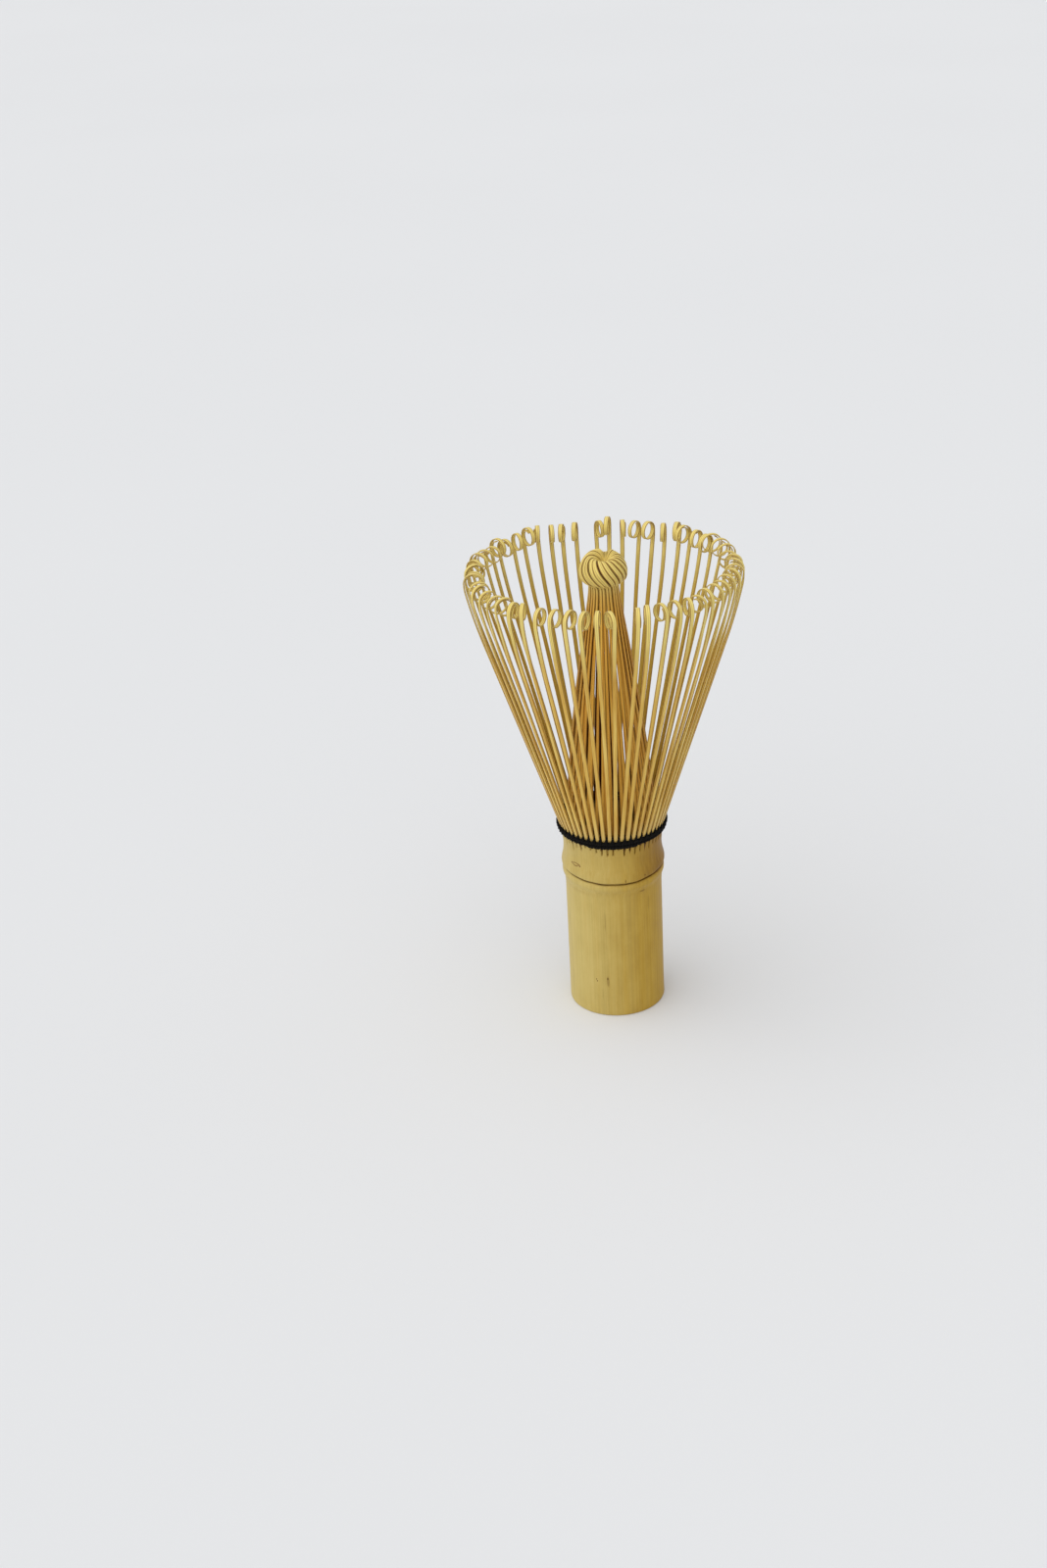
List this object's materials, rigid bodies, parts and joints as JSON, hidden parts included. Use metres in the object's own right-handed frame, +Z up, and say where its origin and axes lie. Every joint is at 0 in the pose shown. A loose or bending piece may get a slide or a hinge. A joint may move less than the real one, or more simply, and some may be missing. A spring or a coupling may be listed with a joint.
{
  "type": "tea whisk",
  "caption": "Bamboo tea whisk: a culm handle split above its node into springy curled outer tines and a cone of inner tines knotted at the tip, bound with black thread.",
  "frame": {"origin": "centre of the foot of the handle, on the surface it stands on", "axes": "+Z up along the handle to the tips of the tines; -Y is the side seen in front"},
  "size_m": [0.0649, 0.0647, 0.1192],
  "materials": {
    "culm_bamboo": "satin natural bamboo skin",
    "tine_bamboo": "split and shaved bamboo, satin",
    "inner_bamboo": "split and shaved bamboo heart, satin",
    "black_thread": "twisted cotton thread, matt"
  },
  "bodies": {
    "handle": {"culm_handle": "culm_bamboo", "inner_tines": "inner_bamboo", "inner_tip_knot": "inner_bamboo", "binding_thread": "black_thread"},
    "tine_01": {"outer_tine_01": "tine_bamboo"},
    "tine_02": {"outer_tine_02": "tine_bamboo"},
    "tine_03": {"outer_tine_03": "tine_bamboo"},
    "tine_04": {"outer_tine_04": "tine_bamboo"},
    "tine_05": {"outer_tine_05": "tine_bamboo"},
    "tine_06": {"outer_tine_06": "tine_bamboo"},
    "tine_07": {"outer_tine_07": "tine_bamboo"},
    "tine_08": {"outer_tine_08": "tine_bamboo"},
    "tine_09": {"outer_tine_09": "tine_bamboo"},
    "tine_10": {"outer_tine_10": "tine_bamboo"},
    "tine_11": {"outer_tine_11": "tine_bamboo"},
    "tine_12": {"outer_tine_12": "tine_bamboo"},
    "tine_13": {"outer_tine_13": "tine_bamboo"},
    "tine_14": {"outer_tine_14": "tine_bamboo"},
    "tine_15": {"outer_tine_15": "tine_bamboo"},
    "tine_16": {"outer_tine_16": "tine_bamboo"},
    "tine_17": {"outer_tine_17": "tine_bamboo"},
    "tine_18": {"outer_tine_18": "tine_bamboo"},
    "tine_19": {"outer_tine_19": "tine_bamboo"},
    "tine_20": {"outer_tine_20": "tine_bamboo"},
    "tine_21": {"outer_tine_21": "tine_bamboo"},
    "tine_22": {"outer_tine_22": "tine_bamboo"},
    "tine_23": {"outer_tine_23": "tine_bamboo"},
    "tine_24": {"outer_tine_24": "tine_bamboo"},
    "tine_25": {"outer_tine_25": "tine_bamboo"},
    "tine_26": {"outer_tine_26": "tine_bamboo"},
    "tine_27": {"outer_tine_27": "tine_bamboo"},
    "tine_28": {"outer_tine_28": "tine_bamboo"},
    "tine_29": {"outer_tine_29": "tine_bamboo"},
    "tine_30": {"outer_tine_30": "tine_bamboo"},
    "tine_31": {"outer_tine_31": "tine_bamboo"},
    "tine_32": {"outer_tine_32": "tine_bamboo"},
    "tine_33": {"outer_tine_33": "tine_bamboo"},
    "tine_34": {"outer_tine_34": "tine_bamboo"},
    "tine_35": {"outer_tine_35": "tine_bamboo"},
    "tine_36": {"outer_tine_36": "tine_bamboo"},
    "tine_37": {"outer_tine_37": "tine_bamboo"},
    "tine_38": {"outer_tine_38": "tine_bamboo"},
    "tine_39": {"outer_tine_39": "tine_bamboo"},
    "tine_40": {"outer_tine_40": "tine_bamboo"},
    "tine_41": {"outer_tine_41": "tine_bamboo"},
    "tine_42": {"outer_tine_42": "tine_bamboo"},
    "tine_43": {"outer_tine_43": "tine_bamboo"},
    "tine_44": {"outer_tine_44": "tine_bamboo"},
    "tine_45": {"outer_tine_45": "tine_bamboo"},
    "tine_46": {"outer_tine_46": "tine_bamboo"},
    "tine_47": {"outer_tine_47": "tine_bamboo"},
    "tine_48": {"outer_tine_48": "tine_bamboo"},
    "tine_49": {"outer_tine_49": "tine_bamboo"},
    "tine_50": {"outer_tine_50": "tine_bamboo"},
    "tine_51": {"outer_tine_51": "tine_bamboo"},
    "tine_52": {"outer_tine_52": "tine_bamboo"},
    "tine_53": {"outer_tine_53": "tine_bamboo"},
    "tine_54": {"outer_tine_54": "tine_bamboo"},
    "tine_55": {"outer_tine_55": "tine_bamboo"},
    "tine_56": {"outer_tine_56": "tine_bamboo"}
  },
  "joints": [
    {"name": "tine_01_flex", "type": "hinge", "parent": "handle", "child": "tine_01", "pos_m": [-0.00067, -0.01286, 0.05044], "axis": [0.9986, -0.0523, 0.0015], "range_deg": [-6, 6], "stiffness_Nm_per_rad": 0.006},
    {"name": "tine_02_flex", "type": "hinge", "parent": "handle", "child": "tine_02", "pos_m": [0.00077, -0.01285, 0.05044], "axis": [0.9982, 0.0598, 0.0012], "range_deg": [-6, 6], "stiffness_Nm_per_rad": 0.006},
    {"name": "tine_03_flex", "type": "hinge", "parent": "handle", "child": "tine_03", "pos_m": [0.0022, -0.01269, 0.05044], "axis": [0.9848, 0.1711, -0.0292], "range_deg": [-6, 6], "stiffness_Nm_per_rad": 0.006},
    {"name": "tine_04_flex", "type": "hinge", "parent": "handle", "child": "tine_04", "pos_m": [0.00361, -0.01236, 0.05044], "axis": [0.9598, 0.2804, -0.0086], "range_deg": [-6, 6], "stiffness_Nm_per_rad": 0.006},
    {"name": "tine_05_flex", "type": "hinge", "parent": "handle", "child": "tine_05", "pos_m": [0.00497, -0.01188, 0.05044], "axis": [0.9223, 0.3861, -0.0189], "range_deg": [-6, 6], "stiffness_Nm_per_rad": 0.006},
    {"name": "tine_06_flex", "type": "hinge", "parent": "handle", "child": "tine_06", "pos_m": [0.00627, -0.01125, 0.05044], "axis": [0.8733, 0.4869, -0.0172], "range_deg": [-6, 6], "stiffness_Nm_per_rad": 0.006},
    {"name": "tine_07_flex", "type": "hinge", "parent": "handle", "child": "tine_07", "pos_m": [0.00749, -0.01047, 0.05044], "axis": [0.8133, 0.5817, -0.0137], "range_deg": [-6, 6], "stiffness_Nm_per_rad": 0.006},
    {"name": "tine_08_flex", "type": "hinge", "parent": "handle", "child": "tine_08", "pos_m": [0.00862, -0.00957, 0.05044], "axis": [0.743, 0.669, -0.0163], "range_deg": [-6, 6], "stiffness_Nm_per_rad": 0.006},
    {"name": "tine_09_flex", "type": "hinge", "parent": "handle", "child": "tine_09", "pos_m": [0.00963, -0.00855, 0.05044], "axis": [0.6636, 0.7481, 0.0004], "range_deg": [-6, 6], "stiffness_Nm_per_rad": 0.006},
    {"name": "tine_10_flex", "type": "hinge", "parent": "handle", "child": "tine_10", "pos_m": [0.01053, -0.00741, 0.05044], "axis": [0.5756, 0.8177, -0.0006], "range_deg": [-6, 6], "stiffness_Nm_per_rad": 0.006},
    {"name": "tine_11_flex", "type": "hinge", "parent": "handle", "child": "tine_11", "pos_m": [0.01129, -0.00619, 0.05044], "axis": [0.4804, 0.877, -0.0041], "range_deg": [-6, 6], "stiffness_Nm_per_rad": 0.006},
    {"name": "tine_12_flex", "type": "hinge", "parent": "handle", "child": "tine_12", "pos_m": [0.01192, -0.00488, 0.05044], "axis": [0.3792, 0.9253, 0.0001], "range_deg": [-6, 6], "stiffness_Nm_per_rad": 0.006},
    {"name": "tine_13_flex", "type": "hinge", "parent": "handle", "child": "tine_13", "pos_m": [0.01239, -0.00352, 0.05044], "axis": [0.2732, 0.9619, -0.0032], "range_deg": [-6, 6], "stiffness_Nm_per_rad": 0.006},
    {"name": "tine_14_flex", "type": "hinge", "parent": "handle", "child": "tine_14", "pos_m": [0.0127, -0.00211, 0.05044], "axis": [0.1638, 0.9865, 0.0004], "range_deg": [-6, 6], "stiffness_Nm_per_rad": 0.006},
    {"name": "tine_15_flex", "type": "hinge", "parent": "handle", "child": "tine_15", "pos_m": [0.01286, -0.00067, 0.05044], "axis": [0.0523, 0.9986, 0.0038], "range_deg": [-6, 6], "stiffness_Nm_per_rad": 0.006},
    {"name": "tine_16_flex", "type": "hinge", "parent": "handle", "child": "tine_16", "pos_m": [0.01285, 0.00077, 0.05044], "axis": [-0.0598, 0.9982, 0.0018], "range_deg": [-6, 6], "stiffness_Nm_per_rad": 0.006},
    {"name": "tine_17_flex", "type": "hinge", "parent": "handle", "child": "tine_17", "pos_m": [0.01269, 0.0022, 0.05044], "axis": [-0.1712, 0.9852, 0.0028], "range_deg": [-6, 6], "stiffness_Nm_per_rad": 0.006},
    {"name": "tine_18_flex", "type": "hinge", "parent": "handle", "child": "tine_18", "pos_m": [0.01236, 0.00361, 0.05044], "axis": [-0.2804, 0.9599, 0.0022], "range_deg": [-6, 6], "stiffness_Nm_per_rad": 0.006},
    {"name": "tine_19_flex", "type": "hinge", "parent": "handle", "child": "tine_19", "pos_m": [0.01188, 0.00497, 0.05044], "axis": [-0.3861, 0.9224, -0.0004], "range_deg": [-6, 6], "stiffness_Nm_per_rad": 0.006},
    {"name": "tine_20_flex", "type": "hinge", "parent": "handle", "child": "tine_20", "pos_m": [0.01125, 0.00627, 0.05044], "axis": [-0.487, 0.8734, 0.0007], "range_deg": [-6, 6], "stiffness_Nm_per_rad": 0.006},
    {"name": "tine_21_flex", "type": "hinge", "parent": "handle", "child": "tine_21", "pos_m": [0.01047, 0.00749, 0.05044], "axis": [-0.5817, 0.8134, 0.0028], "range_deg": [-6, 6], "stiffness_Nm_per_rad": 0.006},
    {"name": "tine_22_flex", "type": "hinge", "parent": "handle", "child": "tine_22", "pos_m": [0.00957, 0.00862, 0.05044], "axis": [-0.6691, 0.7431, 0.002], "range_deg": [-6, 6], "stiffness_Nm_per_rad": 0.006},
    {"name": "tine_23_flex", "type": "hinge", "parent": "handle", "child": "tine_23", "pos_m": [0.00855, 0.00963, 0.05044], "axis": [-0.7481, 0.6635, -0.0039], "range_deg": [-6, 6], "stiffness_Nm_per_rad": 0.006},
    {"name": "tine_24_flex", "type": "hinge", "parent": "handle", "child": "tine_24", "pos_m": [0.00741, 0.01053, 0.05044], "axis": [-0.8177, 0.5756, 0.0038], "range_deg": [-6, 6], "stiffness_Nm_per_rad": 0.006},
    {"name": "tine_25_flex", "type": "hinge", "parent": "handle", "child": "tine_25", "pos_m": [0.00619, 0.01129, 0.05044], "axis": [-0.877, 0.4804, 0.0009], "range_deg": [-6, 6], "stiffness_Nm_per_rad": 0.006},
    {"name": "tine_26_flex", "type": "hinge", "parent": "handle", "child": "tine_26", "pos_m": [0.00488, 0.01192, 0.05044], "axis": [-0.9253, 0.3792, 0.0037], "range_deg": [-6, 6], "stiffness_Nm_per_rad": 0.006},
    {"name": "tine_27_flex", "type": "hinge", "parent": "handle", "child": "tine_27", "pos_m": [0.00352, 0.01239, 0.05044], "axis": [-0.9619, 0.2732, 0.0043], "range_deg": [-6, 6], "stiffness_Nm_per_rad": 0.006},
    {"name": "tine_28_flex", "type": "hinge", "parent": "handle", "child": "tine_28", "pos_m": [0.00211, 0.0127, 0.05044], "axis": [-0.9865, 0.1638, -0.0032], "range_deg": [-6, 6], "stiffness_Nm_per_rad": 0.006},
    {"name": "tine_29_flex", "type": "hinge", "parent": "handle", "child": "tine_29", "pos_m": [0.00067, 0.01286, 0.05044], "axis": [-0.9986, 0.0523, 0.0012], "range_deg": [-6, 6], "stiffness_Nm_per_rad": 0.006},
    {"name": "tine_30_flex", "type": "hinge", "parent": "handle", "child": "tine_30", "pos_m": [-0.00077, 0.01285, 0.05044], "axis": [-0.9981, -0.0598, 0.0112], "range_deg": [-6, 6], "stiffness_Nm_per_rad": 0.006},
    {"name": "tine_31_flex", "type": "hinge", "parent": "handle", "child": "tine_31", "pos_m": [-0.0022, 0.01269, 0.05044], "axis": [-0.9851, -0.1712, -0.0163], "range_deg": [-6, 6], "stiffness_Nm_per_rad": 0.006},
    {"name": "tine_32_flex", "type": "hinge", "parent": "handle", "child": "tine_32", "pos_m": [-0.00361, 0.01236, 0.05044], "axis": [-0.9598, -0.2804, -0.0146], "range_deg": [-6, 6], "stiffness_Nm_per_rad": 0.006},
    {"name": "tine_33_flex", "type": "hinge", "parent": "handle", "child": "tine_33", "pos_m": [-0.00497, 0.01188, 0.05044], "axis": [-0.9224, -0.3861, -0.0031], "range_deg": [-6, 6], "stiffness_Nm_per_rad": 0.006},
    {"name": "tine_34_flex", "type": "hinge", "parent": "handle", "child": "tine_34", "pos_m": [-0.00627, 0.01125, 0.05044], "axis": [-0.8734, -0.487, -0.0023], "range_deg": [-6, 6], "stiffness_Nm_per_rad": 0.006},
    {"name": "tine_35_flex", "type": "hinge", "parent": "handle", "child": "tine_35", "pos_m": [-0.00749, 0.01047, 0.05044], "axis": [-0.8134, -0.5817, -0.0027], "range_deg": [-6, 6], "stiffness_Nm_per_rad": 0.006},
    {"name": "tine_36_flex", "type": "hinge", "parent": "handle", "child": "tine_36", "pos_m": [-0.00862, 0.00957, 0.05044], "axis": [-0.7431, -0.6691, -0.0021], "range_deg": [-6, 6], "stiffness_Nm_per_rad": 0.006},
    {"name": "tine_37_flex", "type": "hinge", "parent": "handle", "child": "tine_37", "pos_m": [-0.00963, 0.00855, 0.05044], "axis": [-0.6634, -0.748, -0.0206], "range_deg": [-6, 6], "stiffness_Nm_per_rad": 0.006},
    {"name": "tine_38_flex", "type": "hinge", "parent": "handle", "child": "tine_38", "pos_m": [-0.01053, 0.00741, 0.05044], "axis": [-0.5756, -0.8177, 0.0005], "range_deg": [-6, 6], "stiffness_Nm_per_rad": 0.006},
    {"name": "tine_39_flex", "type": "hinge", "parent": "handle", "child": "tine_39", "pos_m": [-0.01129, 0.00619, 0.05044], "axis": [-0.4804, -0.877, 0.0024], "range_deg": [-6, 6], "stiffness_Nm_per_rad": 0.006},
    {"name": "tine_40_flex", "type": "hinge", "parent": "handle", "child": "tine_40", "pos_m": [-0.01192, 0.00488, 0.05044], "axis": [-0.3792, -0.9253, -0.0034], "range_deg": [-6, 6], "stiffness_Nm_per_rad": 0.006},
    {"name": "tine_41_flex", "type": "hinge", "parent": "handle", "child": "tine_41", "pos_m": [-0.01239, 0.00352, 0.05044], "axis": [-0.2732, -0.9619, 0.0036], "range_deg": [-6, 6], "stiffness_Nm_per_rad": 0.006},
    {"name": "tine_42_flex", "type": "hinge", "parent": "handle", "child": "tine_42", "pos_m": [-0.0127, 0.00211, 0.05044], "axis": [-0.1638, -0.9865, 0.0002], "range_deg": [-6, 6], "stiffness_Nm_per_rad": 0.006},
    {"name": "tine_43_flex", "type": "hinge", "parent": "handle", "child": "tine_43", "pos_m": [-0.01286, 0.00067, 0.05044], "axis": [-0.0523, -0.9986, -0.004], "range_deg": [-6, 6], "stiffness_Nm_per_rad": 0.006},
    {"name": "tine_44_flex", "type": "hinge", "parent": "handle", "child": "tine_44", "pos_m": [-0.01285, -0.00077, 0.05044], "axis": [0.0598, -0.9982, 0.0028], "range_deg": [-6, 6], "stiffness_Nm_per_rad": 0.006},
    {"name": "tine_45_flex", "type": "hinge", "parent": "handle", "child": "tine_45", "pos_m": [-0.01269, -0.0022, 0.05044], "axis": [0.1712, -0.9852, 0.003], "range_deg": [-6, 6], "stiffness_Nm_per_rad": 0.006},
    {"name": "tine_46_flex", "type": "hinge", "parent": "handle", "child": "tine_46", "pos_m": [-0.01236, -0.00361, 0.05044], "axis": [0.2804, -0.9599, -0.0004], "range_deg": [-6, 6], "stiffness_Nm_per_rad": 0.006},
    {"name": "tine_47_flex", "type": "hinge", "parent": "handle", "child": "tine_47", "pos_m": [-0.01188, -0.00497, 0.05044], "axis": [0.3861, -0.9224, -0.0002], "range_deg": [-6, 6], "stiffness_Nm_per_rad": 0.006},
    {"name": "tine_48_flex", "type": "hinge", "parent": "handle", "child": "tine_48", "pos_m": [-0.01125, -0.00627, 0.05044], "axis": [0.487, -0.8734, 0.0025], "range_deg": [-6, 6], "stiffness_Nm_per_rad": 0.006},
    {"name": "tine_49_flex", "type": "hinge", "parent": "handle", "child": "tine_49", "pos_m": [-0.01047, -0.00749, 0.05044], "axis": [0.5817, -0.8134, 0.0021], "range_deg": [-6, 6], "stiffness_Nm_per_rad": 0.006},
    {"name": "tine_50_flex", "type": "hinge", "parent": "handle", "child": "tine_50", "pos_m": [-0.00957, -0.00862, 0.05044], "axis": [0.6691, -0.7431, 0.0004], "range_deg": [-6, 6], "stiffness_Nm_per_rad": 0.006},
    {"name": "tine_51_flex", "type": "hinge", "parent": "handle", "child": "tine_51", "pos_m": [-0.00855, -0.00963, 0.05044], "axis": [0.7481, -0.6636, 0], "range_deg": [-6, 6], "stiffness_Nm_per_rad": 0.006},
    {"name": "tine_52_flex", "type": "hinge", "parent": "handle", "child": "tine_52", "pos_m": [-0.00741, -0.01053, 0.05044], "axis": [0.8177, -0.5756, 0.0027], "range_deg": [-6, 6], "stiffness_Nm_per_rad": 0.006},
    {"name": "tine_53_flex", "type": "hinge", "parent": "handle", "child": "tine_53", "pos_m": [-0.00619, -0.01129, 0.05044], "axis": [0.877, -0.4804, -0.0019], "range_deg": [-6, 6], "stiffness_Nm_per_rad": 0.006},
    {"name": "tine_54_flex", "type": "hinge", "parent": "handle", "child": "tine_54", "pos_m": [-0.00488, -0.01192, 0.05044], "axis": [0.9253, -0.3792, -0.0024], "range_deg": [-6, 6], "stiffness_Nm_per_rad": 0.006},
    {"name": "tine_55_flex", "type": "hinge", "parent": "handle", "child": "tine_55", "pos_m": [-0.00352, -0.01239, 0.05044], "axis": [0.9619, -0.2732, -0.0023], "range_deg": [-6, 6], "stiffness_Nm_per_rad": 0.006},
    {"name": "tine_56_flex", "type": "hinge", "parent": "handle", "child": "tine_56", "pos_m": [-0.00211, -0.0127, 0.05044], "axis": [0.9865, -0.1638, 0.0005], "range_deg": [-6, 6], "stiffness_Nm_per_rad": 0.006}
  ]
}
